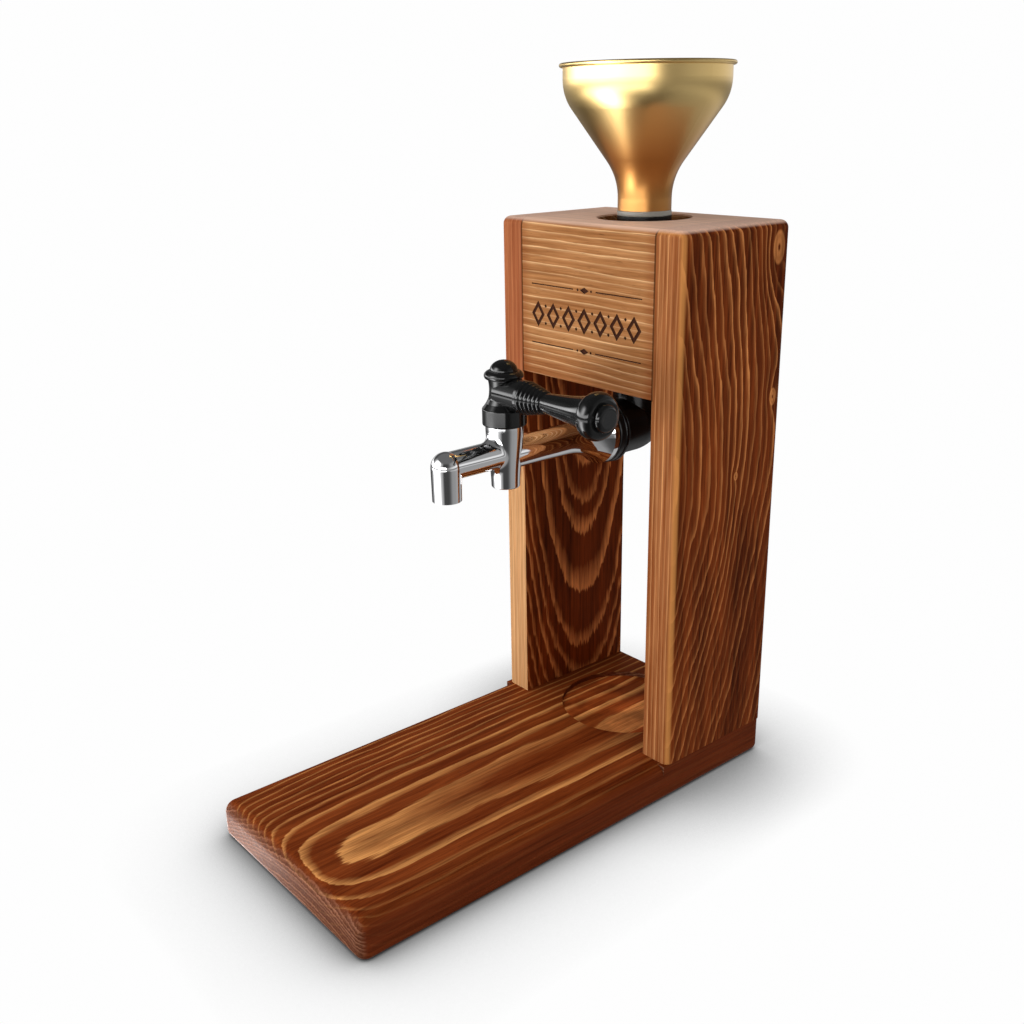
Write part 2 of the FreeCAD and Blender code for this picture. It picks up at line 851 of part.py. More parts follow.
def make_cap():
    """A finial pressed into the top of the hub: a rounded disc under a dome."""
    half = cap_disc_height / 2
    outline = Outline(0, -cap_plug_height)
    outline.line(cap_plug_radius, -cap_plug_height)
    outline.line(cap_plug_radius, 0)
    outline.line(hub_end_radius, 0)
    outline.line(hub_end_radius, cap_foot_height)
    outline.curve(
        (bulge(hub_end_radius, cap_disc_radius, cheek_share), half * cheek_share),
        (cap_disc_radius, half),
        (bulge(cap_dome_radius, cap_disc_radius, cheek_share), cap_disc_height - half * cheek_share),
        (cap_dome_radius, cap_disc_height),
    )
    dome = []
    for angle in (25, 55):
        turn = math.radians(angle)
        dome.append((cap_dome_radius * math.cos(turn), cap_disc_height + cap_dome_height * math.sin(turn)))
    outline.curve(*dome, (0, cap_disc_height + cap_dome_height))
    return aimed(outline.turned(), V(0, valve_y, hub_top_z), UP)


# Funnel
def flare_angle_and_run(height, spread, radii):
    """The slope of the straight run between two arcs that take the wall from upright to upright."""
    run = math.sqrt((spread - radii) ** 2 + height**2 - radii**2)
    cosine = (run * height - radii * (spread - radii)) / (radii**2 + run**2)
    return math.degrees(math.acos(cosine)), run


def funnel_wall_line(outline, offset, upward):
    """Draws one face of the funnel's wall, a given distance inside the outer face."""
    rise = bowl_shoulder_height - stem_straight
    spread = bowl_radius - stem_radius
    angle, run = flare_angle_and_run(rise, spread, flare_radius + bowl_shoulder_radius)
    bend = math.radians(angle)
    flare_centre = (stem_radius + flare_radius, stem_straight)
    bowl_centre = (bowl_radius - bowl_shoulder_radius, bowl_shoulder_height)
    low = flare_radius + offset
    high = bowl_shoulder_radius - offset
    flare_end = (flare_centre[0] - low * math.cos(bend), flare_centre[1] + low * math.sin(bend))
    bowl_start = (bowl_centre[0] + high * math.cos(bend), bowl_centre[1] - high * math.sin(bend))
    if upward:
        outline.line(stem_radius - offset, stem_straight)
        outline.arc(flare_centre[0], flare_centre[1], -angle)
        outline.line(*bowl_start)
        outline.arc(bowl_centre[0], bowl_centre[1], angle)
    else:
        outline.line(bowl_radius - offset, bowl_shoulder_height)
        outline.arc(bowl_centre[0], bowl_centre[1], -angle)
        outline.line(*flare_end)
        outline.arc(flare_centre[0], flare_centre[1], angle)


def make_funnel():
    """A thin spun bowl on a stem, with a beaded rim and a narrow spigot that enters the neck."""
    spigot = neck_bore - spigot_clearance
    top = bowl_shoulder_height + bowl_wall_height
    outline = Outline(spigot - funnel_wall, -spigot_length)
    outline.line(spigot, -spigot_length)
    outline.line(spigot, 0)
    outline.line(stem_radius, 0)
    funnel_wall_line(outline, 0, True)
    outline.line(bowl_radius, top)
    outline.line(bowl_radius - funnel_wall, top)
    funnel_wall_line(outline, funnel_wall, False)
    outline.line(stem_radius - funnel_wall, spigot_step)
    outline.line(spigot - funnel_wall, spigot_step)
    bead = Part.makeTorus(bowl_radius + rim_bead_stand_out, rim_bead_radius, UP * top)
    shell = fused([outline.turned(), bead])
    return aimed(shell, V(0, reservoir_y, funnel_z), UP)


right_board = make_right_board()
save("base_board", make_base_board())
save("right_side_board", right_board)
save("left_side_board", mirrored_in_x(right_board))
save("head_block", make_head_block())
save("head_dowels", make_dowels())
save("base_screws", make_base_screws())
save("reservoir_bottle", make_reservoir())
save("neck_seal", make_neck_seal())
save("outlet_elbow", make_elbow())
save("elbow_insert", make_insert())
save("tap_body", make_tap_body())
save("tap_washer", make_tap_washer())
save("valve_plug", make_plug())
save("plug_o_rings", make_o_rings())
save("thrust_washer", make_thrust_washer())
save("gland_nut", make_gland_nut())
save("tap_lever", make_lever())
save("lever_knob", make_knob())
save("handle_screw", make_handle_screw())
save("handle_cap", make_cap())
save("funnel", make_funnel())
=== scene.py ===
"""The looks of the wooden drinks dispenser: stained pine boards, a spun brass funnel, a chrome tap with a
black handle, and the pale studio that it stands in.

Metres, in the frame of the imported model: the origin is the centre of the base's underside, +Z is up and
the tap faces -Y. Wood patterns are worked out in millimetres from each point's place in that frame.
"""

import math
from collections import namedtuple

import bpy
from mathutils import Matrix, Vector


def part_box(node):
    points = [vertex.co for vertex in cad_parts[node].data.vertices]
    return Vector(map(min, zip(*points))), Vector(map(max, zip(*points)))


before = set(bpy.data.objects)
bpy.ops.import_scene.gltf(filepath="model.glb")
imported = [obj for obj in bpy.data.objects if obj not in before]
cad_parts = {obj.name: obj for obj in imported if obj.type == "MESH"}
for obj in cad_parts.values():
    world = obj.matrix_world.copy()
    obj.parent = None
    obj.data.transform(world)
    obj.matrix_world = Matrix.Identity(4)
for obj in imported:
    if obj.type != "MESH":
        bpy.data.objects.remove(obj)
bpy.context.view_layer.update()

# Camera, as worked out from the board's edges, with its angles in degrees
CAMERA_PLACE = (0.45825, -0.37371, 0.38481)
CAMERA_YAW = 50.211
CAMERA_PITCH = -19.445
CAMERA_ROLL = -1.0
CAMERA_LENS = 39.96
SENSOR_WIDTH = 36.0

MM_PER_METRE = 1000.0
X_AXIS, Y_AXIS, Z_AXIS = range(3)

# Faces of the pieces, in millimetres, read from the frame
base_low, base_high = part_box("base_board")
board_low, board_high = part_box("right_side_board")
BOARD_FRONT = board_low.y * MM_PER_METRE
BOARD_INNER = board_low.x * MM_PER_METRE
BOARD_OUTER = board_high.x * MM_PER_METRE
BOARD_TOP = board_high.z * MM_PER_METRE
BOARD_HEIGHT = (board_high.z - board_low.z) * MM_PER_METRE
BASE_TOP = base_high.z * MM_PER_METRE
BASE_FRONT = base_low.y * MM_PER_METRE
HEAD_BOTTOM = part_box("head_block")[0].z * MM_PER_METRE
FUNNEL_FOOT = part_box("funnel")[0].z * MM_PER_METRE


class Value:
    """A number in a shader graph. Sums of values build the graph's math nodes."""

    def __init__(self, graph, socket):
        self.graph = graph
        self.socket = socket

    def _math(self, operation, *others, clamp=False):
        node = self.graph.add("ShaderNodeMath", operation=operation, use_clamp=clamp)
        for slot, other in enumerate((self,) + others):
            self.graph.feed(node.inputs[slot], other)
        return Value(self.graph, node.outputs[0])

    def __add__(self, other):
        return self._math("ADD", other)

    def __sub__(self, other):
        return self._math("SUBTRACT", other)

    def __mul__(self, other):
        return self._math("MULTIPLY", other)

    def __truediv__(self, other):
        return self._math("DIVIDE", other)

    def __neg__(self):
        return self._math("MULTIPLY", -1.0)

    def squared(self):
        return self._math("MULTIPLY", self)

    def root(self):
        return self._math("SQRT")

    def power(self, exponent):
        return self._math("POWER", exponent)

    def exponent(self):
        return self._math("EXPONENT")

    def tanh(self):
        return self._math("TANH")

    def arctan2(self, along):
        """The angle in radians whose tangent is this value over another."""
        return self._math("ARCTAN2", along)

    def size(self):
        return self._math("ABSOLUTE")

    def fraction(self):
        return self._math("FRACT")

    def floor(self):
        return self._math("FLOOR")

    def larger(self, other):
        return self._math("MAXIMUM", other)

    def clamped(self):
        return self._math("ADD", 0.0, clamp=True)

    def flipped(self, share=1.0):
        """1 less the value, or less a share of it."""
        return self * -share + 1.0

    def step(self, low, high):
        """Rises smoothly from 0 at low to 1 at high."""
        node = self.graph.add("ShaderNodeMapRange", interpolation_type="SMOOTHSTEP")
        self.graph.feed(node.inputs["Value"], self)
        self.graph.feed(node.inputs["From Min"], low)
        self.graph.feed(node.inputs["From Max"], high)
        return Value(self.graph, node.outputs["Result"])

    def fall(self, low, high):
        """Falls smoothly from 1 at low to 0 at high."""
        return (-self).step(-high, -low)


# Noise over the part: cycles per millimetre along each axis, a shift that picks the pattern, and its height
Wave = namedtuple("Wave", "scales shift height detail roughness", defaults=(0.0, 1.0, 2.0, 0.5))


def even(scale):
    """The same scale along all three axes."""
    return (scale,) * 3


class Graph:
    """A material's shader graph, with its object-space place in millimetres and its normal."""

    @classmethod
    def over(cls, tree):
        """A graph on a tree that isn't a material's."""
        graph = cls.__new__(cls)
        graph.tree = tree
        return graph

    def __init__(self, name):
        self.material = bpy.data.materials.new(name)
        self.material.use_nodes = True
        self.tree = self.material.node_tree
        self.shader = self.tree.nodes["Principled BSDF"]
        place = self.add("ShaderNodeTexCoord")
        scaled = self.add("ShaderNodeVectorMath", operation="SCALE")
        self.tree.links.new(place.outputs["Object"], scaled.inputs[0])
        scaled.inputs["Scale"].default_value = MM_PER_METRE
        self.x, self.y, self.z = self.split(scaled.outputs[0])
        self.facing_x, self.facing_y, self.facing_z = self.split(place.outputs["Normal"])

    def add(self, kind, **settings):
        node = self.tree.nodes.new(kind)
        for key, value in settings.items():
            setattr(node, key, value)
        return node

    def feed(self, socket, source):
        if isinstance(source, Value):
            self.tree.links.new(source.socket, socket)
        elif isinstance(source, bpy.types.NodeSocket):
            self.tree.links.new(source, socket)
        else:
            socket.default_value = source

    def split(self, socket):
        node = self.add("ShaderNodeSeparateXYZ")
        self.tree.links.new(socket, node.inputs[0])
        return [Value(self, output) for output in node.outputs]

    def joined(self, x, y, z):
        node = self.add("ShaderNodeCombineXYZ")
        for socket, source in zip(node.inputs, (x, y, z)):
            self.feed(socket, source)
        return node.outputs[0]

    def noise(self, wave, place=None):
        """Smooth noise, up and down by the wave's height, over the part or over another place."""
        place = place or (self.x, self.y, self.z)
        node = self.add("ShaderNodeTexNoise", noise_dimensions="4D", normalize=True)
        node.inputs["Scale"].default_value = 1.0
        node.inputs["Detail"].default_value = wave.detail
        node.inputs["Roughness"].default_value = wave.roughness
        node.inputs["W"].default_value = wave.shift
        scaled = [axis * scale for axis, scale in zip(place, wave.scales)]
        self.feed(node.inputs["Vector"], self.joined(*scaled))
        return (Value(self, node.outputs["Fac"]) * 2.0 - 1.0) * wave.height

    def scatter(self, value, shift):
        """A fixed random number from 0 to 1 for each whole number."""
        node = self.add("ShaderNodeTexWhiteNoise", noise_dimensions="2D")
        self.feed(node.inputs["Vector"], self.joined(value, shift, 0.0))
        return Value(self, node.outputs["Value"])

    def ramp(self, value, stops):
        """A value that runs straight between (place, height) stops, with places in rising order."""
        node = self.add("ShaderNodeValToRGB")
        ramp = node.color_ramp
        ramp.interpolation = "LINEAR"
        first, last = stops[0], stops[-1]
        ramp.elements[0].position = first[0]
        ramp.elements[0].color = (first[1],) * 3 + (1.0,)
        ramp.elements[1].position = last[0]
        ramp.elements[1].color = (last[1],) * 3 + (1.0,)
        for position, height in stops[1:-1]:
            ramp.elements.new(position).color = (height,) * 3 + (1.0,)
        self.feed(node.inputs["Fac"], value)
        return self.split(node.outputs["Color"])[0]

    def curve(self, value, points):
        """A smooth curve through (place, height) points, both from 0 to 1."""
        node = self.add("ShaderNodeFloatCurve")
        line = node.mapping.curves[0]
        line.points[0].location = points[0]
        line.points[1].location = points[-1]
        for point in points[1:-1]:
            line.points.new(*point)
        node.mapping.update()
        self.feed(node.inputs["Value"], value)
        return Value(self, node.outputs["Value"])

    def mix(self, share, first, second):
        """A colour between two colours."""
        node = self.add("ShaderNodeMix", data_type="RGBA", clamp_factor=True)
        self.feed(node.inputs[0], share)
        for socket, colour in ((node.inputs[6], first), (node.inputs[7], second)):
            self.feed(socket, colour + (1.0,) if isinstance(colour, tuple) else colour)
        return node.outputs[2]

    def shaded(self, colour, value):
        """A colour times a value."""
        node = self.add("ShaderNodeVectorMath", operation="SCALE")
        self.feed(node.inputs[0], colour)
        self.feed(node.inputs["Scale"], value)
        return node.outputs[0]

    def bump(self, height_mm, strength):
        node = self.add("ShaderNodeBump")
        node.inputs["Strength"].default_value = strength
        node.inputs["Distance"].default_value = 1.0 / MM_PER_METRE
        self.feed(node.inputs["Height"], height_mm)
        return node.outputs["Normal"]

    def set(self, **inputs):
        """Sets the shader's own sockets, named with underscores for spaces."""
        for key, value in inputs.items():
            socket = self.shader.inputs[key.replace("_", " ")]
            if isinstance(value, tuple) and socket.type == "RGBA":
                value = value + (1.0,)
            self.feed(socket, value)
        return self.material


def layered(layers, weights, base):
    """The base plus each named layer times its weight."""
    total = None
    for name, weight in weights.items():
        part = layers[name] * weight
        total = part if total is None else total + part
    return total + base


def dress(material, *nodes):
    """Gives CAD nodes their finish."""
    for name in nodes:
        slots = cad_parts[name].data.materials
        slots.clear()
        slots.append(material)


# Growth rings. A single ring is (radius, width, strength), in millimetres and from 0 to 1.
RING_EDGE = 0.35
RINGS_PER_RAMP = 8


def ring_lines(graph, radius, rings, low, high):
    """Light growth rings, each soft on its inner side and sharp outside. None lies past low and high."""
    span = high - low
    whole = None
    for first in range(0, len(rings), RINGS_PER_RAMP):
        stops = [(0.0, 0.0)]
        for ring, width, strength in rings[first : first + RINGS_PER_RAMP]:
            for place, height in ((ring - width, 0.0), (ring, strength), (ring + RING_EDGE, 0.0)):
                stops.append(((place - low) / span, height))
        stops.append((1.0, 0.0))
        part = graph.ramp((radius - low) / span, stops)
        whole = part if whole is None else whole.larger(part)
    return whole


# Even lines: pitch in millimetres, width and rise as shares of it, and the least strength that a line has
Lines = namedtuple("Lines", "pitch width rise shift least")
FOOT_LEVEL = 0.04
SHOULDER_LEVEL = 0.32
CREST_LEVEL = 0.95
MOST_STRENGTH = 1.1


def even_lines(graph, level, lines):
    """Light lines at an even pitch: a slow rise, a sharp fall, and a strength of their own."""
    count = level / lines.pitch
    crest = 1.0 - lines.width
    stops = [
        (0.0, 0.0),
        (lines.rise, FOOT_LEVEL),
        (crest - lines.width, SHOULDER_LEVEL),
        (crest, CREST_LEVEL),
        (1.0 - lines.width / 3.0, 1.0),
        (1.0, 0.0),
    ]
    strength = graph.scatter(count.floor(), lines.shift) * (MOST_STRENGTH - lines.least) + lines.least
    return graph.ramp(count.fraction(), stops) * strength


# Wood, in layers of noise that are drawn out along the grain
Grain = namedtuple("Grain", "across along shift detail roughness", defaults=(3.0, 0.6))
GRAINS = {
    "strand": Grain(across=0.42, along=0.014, shift=1.7),
    "fibre": Grain(across=1.0, along=0.03, shift=4.1),
    "hairs": Grain(across=2.6, along=0.09, shift=6.3, detail=2.0),
    "clouds": Grain(across=0.045, along=0.008, shift=7.9, roughness=0.55),
    "ticks": Grain(across=1.5, along=0.13, shift=9.4, detail=1.0),
}
TICK_EDGE = (0.28, 0.5)
LINE_LAYERS = {"strand": 0.5, "fibre": 0.55, "clouds": 0.35}
GROUND_LAYERS = {"strand": 0.7, "fibre": 0.4}
GROUND_LEVEL = 0.42
SHADE_LAYERS = {"strand": 0.30, "fibre": 0.34, "hairs": 0.25, "ticks": -0.3}
HEIGHT_LAYERS = {"line": 0.12, "fibre": 0.07, "hairs": 0.03, "ticks": -0.06}
ROUGH_LAYERS = {"fibre": 0.10, "line": -0.06}
WOOD_ROUGHNESS = 0.42
WOOD_SHEEN = 0.015
WOOD_BUMP = 0.7

# Colours of the ground between the lines and of the lines, how cloudy the ground is, and how strong the grain
Stain = namedtuple("Stain", "dark middle light clouds grainy", defaults=(0.5, 1.0))


def stretched(graph, grain, along):
    """Noise drawn out along one axis."""
    scales = [grain.along if axis == along else grain.across for axis in (X_AXIS, Y_AXIS, Z_AXIS)]
    return graph.noise(Wave(scales, grain.shift, detail=grain.detail, roughness=grain.roughness))


def wood(name, rings, edge, along, stain):
    """Stained softwood. rings draws the light lines, edge recolours it last, along is the grain's axis."""
    graph = Graph(name)
    layers = {layer: stretched(graph, grain, along) for layer, grain in GRAINS.items()}
    layers["ticks"] = layers["ticks"].step(*TICK_EDGE)
    layers["line"] = (rings(graph) * layered(layers, LINE_LAYERS, 1.0)).clamped()
    toned = dict(layers, strand=layers["strand"] * stain.grainy, fibre=layers["fibre"] * stain.grainy)
    share = layered(toned, {"clouds": stain.clouds, **GROUND_LAYERS}, GROUND_LEVEL).clamped()
    colour = graph.mix(layers["line"], graph.mix(share, stain.dark, stain.middle), stain.light)
    colour = graph.shaded(colour, layered(toned, SHADE_LAYERS, 1.0))
    return graph.set(
        Base_Color=edge(graph, colour, layers),
        Roughness=layered(layers, ROUGH_LAYERS, WOOD_ROUGHNESS).clamped(),
        Specular_IOR_Level=WOOD_SHEEN,
        Normal=graph.bump(layered(layers, HEIGHT_LAYERS, 0.0), WOOD_BUMP),
    )


# Right side board, in millimetres back from its front edge, down from its top and in from its outer face.
# Its lines bow towards the back, bunch up low down, and run round knots near the back edge.
RIGHT_STAIN = Stain((0.056, 0.009, 0.002), (0.20, 0.038, 0.007), (0.60, 0.225, 0.068), clouds=1.0)
RIGHT_LINES = Lines(pitch=6.3, width=0.13, rise=0.5, shift=3.0, least=0.12)
RIGHT_WAVES = [
    Wave((0.05, 0.014, 0.05), shift=2.3, height=5.0),
    Wave((0.14, 0.045, 0.14), shift=5.1, height=1.4),
    Wave((0.8, 0.05, 0.8), shift=8.8, height=0.75),
]
RIGHT_SLANT = 0.55
RIGHT_FADE = (60.0, 240.0)
RIGHT_TOP_GAIN = 0.4
RIGHT_LOW_LEVEL = 0.45
BOW_SPAN = 62.0
BOW_SHIFT = 38.0
BOW = [
    (0.0, 0.61),
    (0.16, 0.75),
    (0.33, 0.885),
    (0.46, 0.885),
    (0.57, 0.77),
    (0.7, 0.58),
    (0.83, 0.37),
    (1.0, 0.06),
]
BUNCH_PLACE = (46.0, 172.0)
BUNCH_SIZE = (11.0, 62.0)
BUNCH_PUSH = 6.0

# Knots: where they push the lines aside and how far, and the place and size of the heart
Knot = namedtuple("Knot", "place size push heart heart_size")
KNOTS = [
    Knot((76.0, 20.0), (11.0, 24.0), 13.0, heart=(77.0, 14.0), heart_size=(4.2, 8.0)),
    Knot((80.0, 95.0), (7.0, 14.0), 7.0, heart=(79.0, 97.0), heart_size=(2.4, 4.5)),
    Knot((49.0, 138.0), (4.0, 6.0), 3.0, heart=(50.0, 138.0), heart_size=(1.5, 2.2)),
]

# A knot from its heart outwards, with 1 at the heart's edge
HEART_START = (0.1, 0.35)
HEART_END = (0.5, 0.9)
HEART_LEVEL = 0.7
KNOT_RING_START = (0.55, 0.95)
KNOT_RING_END = (1.0, 1.25)
KNOT_RING_LEVEL = 0.6
KNOT_CLEAR = (0.6, 0.95)


def reach_squared(across, down, place, size):
    """The square of how far a point is from a place, with 1 on the ellipse of the given size."""
    return ((across - place[0]) / size[0]).squared() + ((down - place[1]) / size[1]).squared()


def right_rings(graph):
    across = graph.y - BOARD_FRONT
    down = -(graph.z - BOARD_TOP)
    inward = -(graph.x - BOARD_OUTER)
    level = across - (graph.curve(down / BOARD_HEIGHT, BOW) * BOW_SPAN - BOW_SHIFT)
    for wave in RIGHT_WAVES:
        level = level + graph.noise(wave, (across, down, inward))
    sideways = ((across - BUNCH_PLACE[0]) / BUNCH_SIZE[0]).tanh()
    nearby = (-(((down - BUNCH_PLACE[1]) / BUNCH_SIZE[1]).squared())).exponent()
    level = level + sideways * nearby * BUNCH_PUSH + inward * RIGHT_SLANT
    for knot in KNOTS:
        level = level + (-reach_squared(across, down, knot.place, knot.size)).exponent() * knot.push
    strength = down.fall(*RIGHT_FADE) * RIGHT_TOP_GAIN + RIGHT_LOW_LEVEL
    line = even_lines(graph, level, RIGHT_LINES) * strength
    for knot in KNOTS:
        reach = reach_squared(across, down, knot.heart, knot.heart_size).root()
        heart = reach.step(*HEART_START) * reach.fall(*HEART_END) * HEART_LEVEL
        ring = reach.step(*KNOT_RING_START) * reach.fall(*KNOT_RING_END) * KNOT_RING_LEVEL
        line = line * reach.step(*KNOT_CLEAR) + ring + heart
    return line


# Left side board: the grain runs out of the inner face, which draws a nest of U shapes
LEFT_STAIN = Stain((0.075, 0.012, 0.002), (0.24, 0.040, 0.006), (0.72, 0.23, 0.065), clouds=0.7)
LEFT_RINGS = [
    (27.4, 3.6, 0.9),
    (32.0, 1.5, 0.7),
    (36.2, 2.2, 0.95),
    (45.2, 3.6, 1.0),
    (52.8, 1.8, 0.75),
    (57.2, 1.5, 0.65),
    (61.2, 1.7, 0.8),
    (65.6, 1.4, 0.6),
    (69.8, 1.4, 0.7),
    (74.0, 1.4, 0.55),
    (78.4, 1.4, 0.6),
]
LEFT_RANGE = (18.0, 90.0)
LEFT_PITH_Y = 113.5
LEFT_PITH_DEPTH = 45.0
LEFT_PITH_LEVEL = 79.0
LEFT_PITH_SLOPE = 0.2
LEFT_WANDER = Wave(even(0.02), shift=3.3, height=2.5)
LEFT_TEETH = Wave((0.7, 0.7, 0.04), shift=9.0, height=1.5, detail=3.0)
LEFT_BEND = Wave((0.05, 0.06, 0.05), shift=6.0, height=1.5)


def left_rings(graph):
    depth = (graph.z - LEFT_PITH_LEVEL) * -LEFT_PITH_SLOPE + LEFT_PITH_DEPTH + (graph.x + BOARD_INNER)
    sideways = graph.y - LEFT_PITH_Y + graph.noise(LEFT_WANDER)
    radius = (sideways.squared() + depth.larger(0.0).squared()).root()
    radius = radius + graph.noise(LEFT_TEETH) + graph.noise(LEFT_BEND)
    return ring_lines(graph, radius, LEFT_RINGS, *LEFT_RANGE)


# Head block: close, nearly level lines
HEAD_STAIN = Stain((0.28, 0.098, 0.028), (0.49, 0.235, 0.092), (0.75, 0.455, 0.225), grainy=0.9)
HEAD_LINES = Lines(pitch=4.0, width=0.09, rise=0.62, shift=7.0, least=0.4)
HEAD_TURN = math.radians(29.0)
HEAD_SLOPE = 0.012
HEAD_WOBBLE = Wave((0.012, 0.06, 0.06), shift=1.1, height=2.0)
HEAD_RIPPLE = Wave((0.05, 0.4, 0.4), shift=8.2, height=0.4, detail=3.0)


def head_rings(graph):
    level = graph.z * math.cos(HEAD_TURN) + (graph.y - BOARD_FRONT) * math.sin(HEAD_TURN)
    level = level + graph.x * HEAD_SLOPE + graph.noise(HEAD_WOBBLE) + graph.noise(HEAD_RIPPLE)
    return even_lines(graph, level, HEAD_LINES)


# Base board: the pith lies above it, so wide bands run down the middle and close lines at the sides
BASE_STAIN = Stain((0.11, 0.017, 0.003), (0.25, 0.054, 0.011), (0.66, 0.29, 0.088), clouds=0.9)
BASE_RINGS = [
    (37.6, 1.6, 0.55),
    (40.6, 1.8, 0.65),
    (45.0, 2.8, 1.0),
    (51.8, 2.8, 0.85),
    (59.6, 2.4, 0.75),
    (65.4, 1.6, 0.6),
    (70.0, 1.2, 0.5),
    (74.6, 1.2, 0.55),
    (79.0, 1.1, 0.5),
    (83.4, 1.1, 0.55),
    (88.0, 1.1, 0.5),
    (92.6, 1.1, 0.55),
]
BASE_RANGE = (30.0, 110.0)
BASE_PITH_X = 17.3
BASE_PITH_RISE = 44.0
BASE_PITH_SLOPE = 0.013
BASE_TIP = 4.0
BASE_DIP = 8.0
BASE_DIP_REACH = 10.0
BASE_DIP_START = -20.0
BASE_WANDER = Wave((0.01, 0.012, 0.01), shift=2.0, height=3.0)
BASE_TEETH = Wave((0.6, 0.035, 0.6), shift=5.5, height=1.1, detail=3.0)
BASE_BEND = Wave((0.05, 0.02, 0.05), shift=3.6, height=1.8)

# Where the base's lines are dimmer: inside the tongue away from its tip, and towards the right side
TONGUE_RADIUS = (45.0, 47.0)
TONGUE_FADE = (25.0, 105.0)
TONGUE_LOSS = 0.6
RIGHT_PART = (45.0, 62.0)
RIGHT_PART_LOSS = 0.65


def base_rings(graph):
    run = graph.y - (BASE_FRONT + BASE_TIP)
    dip = (-run.larger(BASE_DIP_START) / BASE_DIP_REACH).exponent() * BASE_DIP
    depth = -(graph.z - BASE_TOP) + BASE_PITH_RISE + dip - run * BASE_PITH_SLOPE
    sideways = graph.x - BASE_PITH_X + graph.noise(BASE_WANDER)
    radius = (sideways.squared() + depth.squared()).root()
    wavy = radius + graph.noise(BASE_TEETH) + graph.noise(BASE_BEND)
    tongue = radius.fall(*TONGUE_RADIUS) * run.step(*TONGUE_FADE)
    right = graph.x.step(*RIGHT_PART)
    lines = ring_lines(graph, wavy, BASE_RINGS, *BASE_RANGE)
    return lines * tongue.flipped(TONGUE_LOSS) * right.flipped(RIGHT_PART_LOSS)


# Streaks: how the lines and the grain share out a dark and a light colour
Streaks = namedtuple("Streaks", "layers base dark light")
UPRIGHT_WANDER = Wave((0.3, 0.3, 0.012), shift=4.4, height=1.3, detail=3.0)


def streaked(graph, layers, lines, streaks):
    share = layered(dict(layers, lines=lines), streaks.layers, streaks.base).clamped()
    return graph.mix(share, streaks.dark, streaks.light)


def upright_lines(graph, lines):
    """Fine upright lines on a board's narrow front edge."""
    return even_lines(graph, graph.x + graph.noise(UPRIGHT_WANDER), lines)


# The joint between the head and the side boards shows as a dark line, in millimetres
SEAM_REACH = (0.25, 0.9)
SEAM_START = 0.6
SEAM_SHARE = 0.8
SEAM_COLOUR = (0.03, 0.010, 0.004)


def seamed(graph, colour):
    beside = (graph.x.size() - BOARD_INNER).size().fall(*SEAM_REACH)
    upwards = graph.z.step(HEAD_BOTTOM - SEAM_START, HEAD_BOTTOM)
    return graph.mix(beside * upwards * SEAM_SHARE, colour, SEAM_COLOUR)


# Painted light from above: the upper faces are paler and pinkish. A face's limits say how squarely it points
# up, from 0 to 1.
Top = namedtuple("Top", "limits share colour")
SIDE_TOP_LIGHT = Top((0.5, 0.95), 0.8, (0.78, 0.52, 0.40))
HEAD_TOP_LIGHT = Top((0.4, 0.95), 0.75, (0.84, 0.58, 0.45))
TOP_LIGHT_LAYERS = {"fibre": 0.3, "strand": 0.2}


def painted_top_light(graph, colour, layers, top):
    # Painted light from above: faces that point up take the paler colour
    share = graph.facing_z.step(*top.limits) * top.share
    return graph.mix(share, colour, graph.shaded(top.colour, layered(layers, TOP_LIGHT_LAYERS, 1.0)))


# Front edges of the side boards, with the limits of how squarely a face points forward
FRONT_SHARE = 0.92
RIGHT_FRONT = (0.55, 0.95)
RIGHT_FRONT_LINES = Lines(pitch=3.1, width=0.14, rise=0.3, shift=2.2, least=0.0)
RIGHT_FRONT_LAYERS = {"fibre": 0.45, "strand": 0.2}
RIGHT_STREAKS = Streaks({"lines": 0.8, "strand": 0.7}, 0.15, (0.26, 0.072, 0.020), (0.64, 0.295, 0.115))
# Painted highlight: a warm streak along the right board's rounded front corner, where it catches the light
ARRIS_HIGHLIGHT_START = (0.15, 0.55)
ARRIS_HIGHLIGHT_END = (0.75, 0.97)
ARRIS_HIGHLIGHT_SHARE = 0.55
ARRIS_HIGHLIGHT_COLOUR = (0.74, 0.32, 0.09)
LEFT_FRONT = (0.35, 0.9)
LEFT_FRONT_LINES = Lines(pitch=3.6, width=0.14, rise=0.3, shift=2.2, least=0.0)
LEFT_FRONT_LAYERS = {"fibre": 0.4}
LEFT_STREAKS = Streaks({"lines": 0.7, "strand": 0.5}, 0.2, (0.28, 0.075, 0.028), (0.50, 0.19, 0.08))
LOW_DOWN_STREAKS = Streaks({"lines": 0.6, "strand": 0.5}, 0.3, (0.52, 0.23, 0.085), (0.80, 0.49, 0.24))
# Below this height, in millimetres, the left board's front edge turns paler
LOW_DOWN_LEVEL = 176.0
LOW_DOWN_WANDER = 14.0
LOW_DOWN_FADE = 9.0


def right_edge(graph, colour, layers):
    """The narrow front edge is paler, with a painted warm highlight on its outer corner."""
    ahead = -graph.facing_y
    lines = upright_lines(graph, RIGHT_FRONT_LINES)
    pale = streaked(graph, layers, lines, RIGHT_STREAKS)
    pale = graph.shaded(pale, layered(layers, RIGHT_FRONT_LAYERS, 1.0))
    colour = graph.mix(ahead.step(*RIGHT_FRONT) * FRONT_SHARE, colour, pale)
    # Painted highlight on the rounded corner between the front and the outer face
    arris_highlight = ahead.step(*ARRIS_HIGHLIGHT_START) * ahead.step(*ARRIS_HIGHLIGHT_END).flipped()
    colour = seamed(graph, graph.mix(arris_highlight * ARRIS_HIGHLIGHT_SHARE, colour, ARRIS_HIGHLIGHT_COLOUR))
    return painted_top_light(graph, colour, layers, SIDE_TOP_LIGHT)


